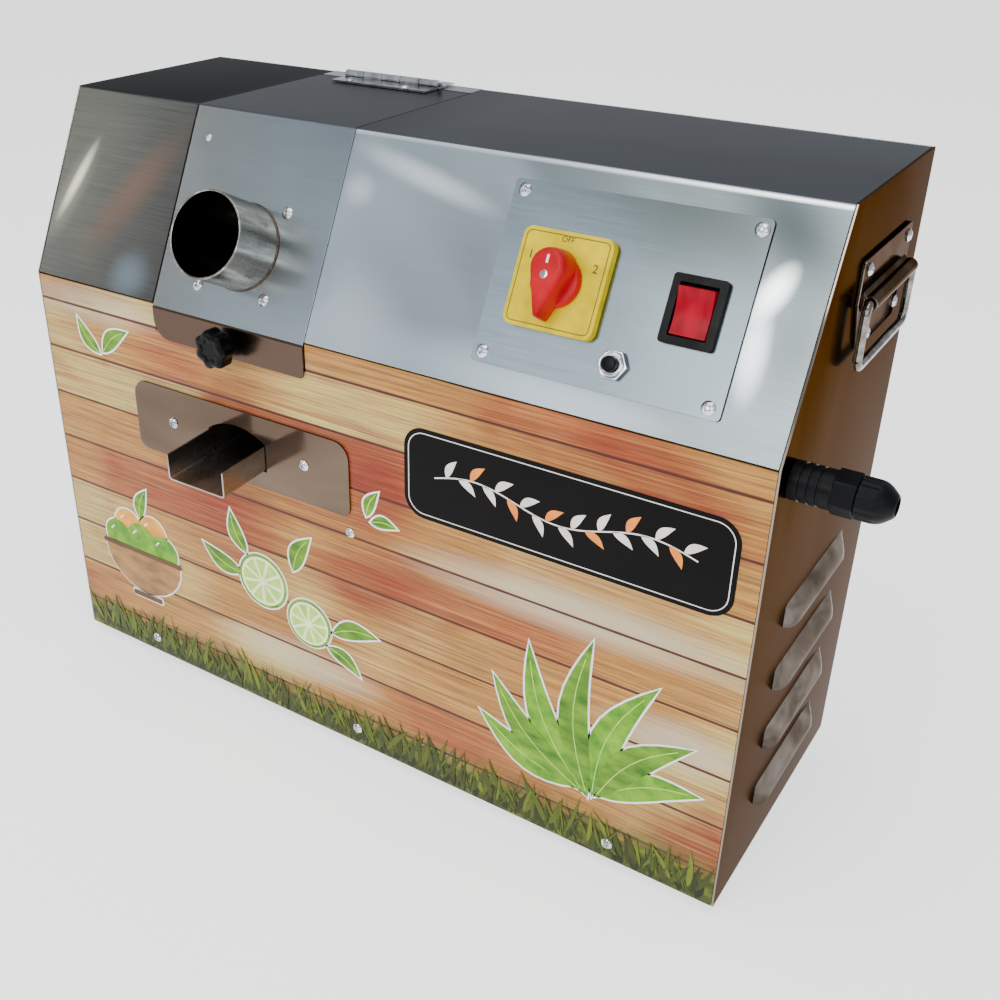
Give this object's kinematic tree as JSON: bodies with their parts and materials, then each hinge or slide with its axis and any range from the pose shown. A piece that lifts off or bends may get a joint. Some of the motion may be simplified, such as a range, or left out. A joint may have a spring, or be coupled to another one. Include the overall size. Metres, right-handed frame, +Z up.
{
  "type": "electric sugarcane juicer",
  "caption": "Table-top electric sugarcane juicer: steel cabinet with sloped fascia, hinged lid with feed pipe, roller mill, gear train, geared motor and juice chute.",
  "frame": {"origin": "middle of the base, level with the undersides of the feet", "axes": "+X to the right as the operator faces the controls, +Y to the rear, +Z up"},
  "size_m": [0.714, 0.297, 0.5101],
  "materials": {
    "brushed_stainless": "brushed stainless sheet",
    "polished_stainless": "mirror-polished stainless sheet",
    "printed_front": "printed film on steel sheet, satin",
    "chrome": "bright chrome",
    "machined_steel": "machined steel",
    "painted_casting": "painted casting",
    "bronze": "machined bronze",
    "black_plastic": "moulded black",
    "yellow_plastic": "moulded yellow",
    "red_plastic": "moulded red",
    "clear_rubber": "translucent white"
  },
  "bodies": {
    "cabinet": {"base_pan": "machined_steel", "front_panel": "printed_front", "rear_panel": "brushed_stainless", "left_side_panel": "polished_stainless", "right_side_panel": "polished_stainless", "left_top_cover": "brushed_stainless", "right_top_cover": "brushed_stainless", "foot_front_left": "clear_rubber", "foot_front_right": "clear_rubber", "foot_rear_left": "clear_rubber", "foot_rear_right": "clear_rubber", "hinge_rear_leaf": "chrome", "hinge_pin": "machined_steel", "left_mill_plate": "machined_steel", "right_mill_plate": "machined_steel", "top_roller_left_bush": "bronze", "top_roller_right_bush": "bronze", "front_roller_left_bush": "bronze", "front_roller_right_bush": "bronze", "rear_roller_left_bush": "bronze", "rear_roller_right_bush": "bronze", "bearing_plate": "machined_steel", "reduction_gearbox": "painted_casting", "drive_motor": "painted_casting", "motor_stand": "machined_steel", "juice_tray": "brushed_stainless", "juice_strainer": "brushed_stainless", "juice_chute": "brushed_stainless", "outlet_plate": "polished_stainless", "trash_plate": "machined_steel", "waste_chute": "brushed_stainless", "control_plate": "brushed_stainless", "rotary_switch_body": "black_plastic", "rotary_switch_plate": "yellow_plastic", "rocker_bezel": "black_plastic", "reset_button_body": "chrome", "gland_body": "black_plastic", "gland_nut": "black_plastic", "left_handle_plate": "polished_stainless", "right_handle_plate": "polished_stainless"},
    "lid": {"crusher_lid": "brushed_stainless", "feed_pipe": "brushed_stainless", "hinge_lid_leaf": "chrome"},
    "latch": {"latch_knob": "black_plastic", "latch_tongue": "machined_steel"},
    "top_roller": {"top_roller": "machined_steel", "top_roller_gear": "machined_steel", "main_gear": "painted_casting"},
    "front_roller": {"front_roller": "machined_steel", "front_roller_gear": "machined_steel"},
    "rear_roller": {"rear_roller": "machined_steel", "rear_roller_gear": "machined_steel"},
    "lay_shaft": {"lay_shaft": "machined_steel", "lay_gear": "painted_casting"},
    "motor_output": {"motor_pinion": "machined_steel"},
    "cam_switch": {"rotary_switch_handle": "red_plastic"},
    "rocker": {"rocker_key": "red_plastic"},
    "reset": {"reset_button": "black_plastic"},
    "left_bail": {"left_handle_bail": "chrome"},
    "right_bail": {"right_handle_bail": "chrome"}
  },
  "joints": [
    {"name": "lid_swing", "type": "hinge", "parent": "cabinet", "child": "lid", "pos_m": [-0.135, 0.1215, 0.5067], "axis": [-1, 0, 0], "range_deg": [0, 110]},
    {"name": "latch_turn", "type": "hinge", "parent": "lid", "child": "latch", "pos_m": [-0.132, -0.1003, 0.348], "axis": [0, 1, 0], "range_deg": [0, 90]},
    {"name": "top_roller_spin", "type": "hinge", "parent": "cabinet", "child": "top_roller", "pos_m": [-0.135, 0.0235, 0.4085], "axis": [1, 0, 0], "continuous": true},
    {"name": "front_roller_spin", "type": "hinge", "parent": "cabinet", "child": "front_roller", "pos_m": [-0.135, -0.01053, 0.34054], "axis": [1, 0, 0], "continuous": true},
    {"name": "rear_roller_spin", "type": "hinge", "parent": "cabinet", "child": "rear_roller", "pos_m": [-0.135, 0.08042, 0.35814], "axis": [1, 0, 0], "continuous": true},
    {"name": "lay_shaft_spin", "type": "hinge", "parent": "cabinet", "child": "lay_shaft", "pos_m": [-0.03, 0.05145, 0.30418], "axis": [1, 0, 0], "continuous": true},
    {"name": "motor_output_spin", "type": "hinge", "parent": "cabinet", "child": "motor_output", "pos_m": [-0.02, 0.01976, 0.23621], "axis": [1, 0, 0], "continuous": true},
    {"name": "cam_switch_turn", "type": "hinge", "parent": "cabinet", "child": "cam_switch", "pos_m": [0.129, -0.06329, 0.43366], "axis": [0, -0.8938, 0.4485], "range_deg": [-60, 60]},
    {"name": "rocker_tilt", "type": "hinge", "parent": "cabinet", "child": "rocker", "pos_m": [0.2195, -0.06539, 0.43416], "axis": [-1, 0, 0], "range_deg": [0, 18]},
    {"name": "reset_press", "type": "slide", "parent": "cabinet", "child": "reset", "axis": [0, 0.8938, -0.4485], "range_m": [0, 0.003], "stiffness_N_per_m": 300},
    {"name": "left_bail_swing", "type": "hinge", "parent": "cabinet", "child": "left_bail", "pos_m": [-0.352, 0.0545, 0.434], "axis": [0, 1, 0], "range_deg": [0, 90]},
    {"name": "right_bail_swing", "type": "hinge", "parent": "cabinet", "child": "right_bail", "pos_m": [0.302, 0.0545, 0.434], "axis": [0, -1, 0], "range_deg": [0, 90]}
  ],
  "couplings": [
    {"joint": "front_roller_spin", "follows": "top_roller_spin", "ratio": -1},
    {"joint": "rear_roller_spin", "follows": "top_roller_spin", "ratio": -1},
    {"joint": "lay_shaft_spin", "follows": "top_roller_spin", "ratio": -2.8571},
    {"joint": "motor_output_spin", "follows": "top_roller_spin", "ratio": 7.3469}
  ]
}
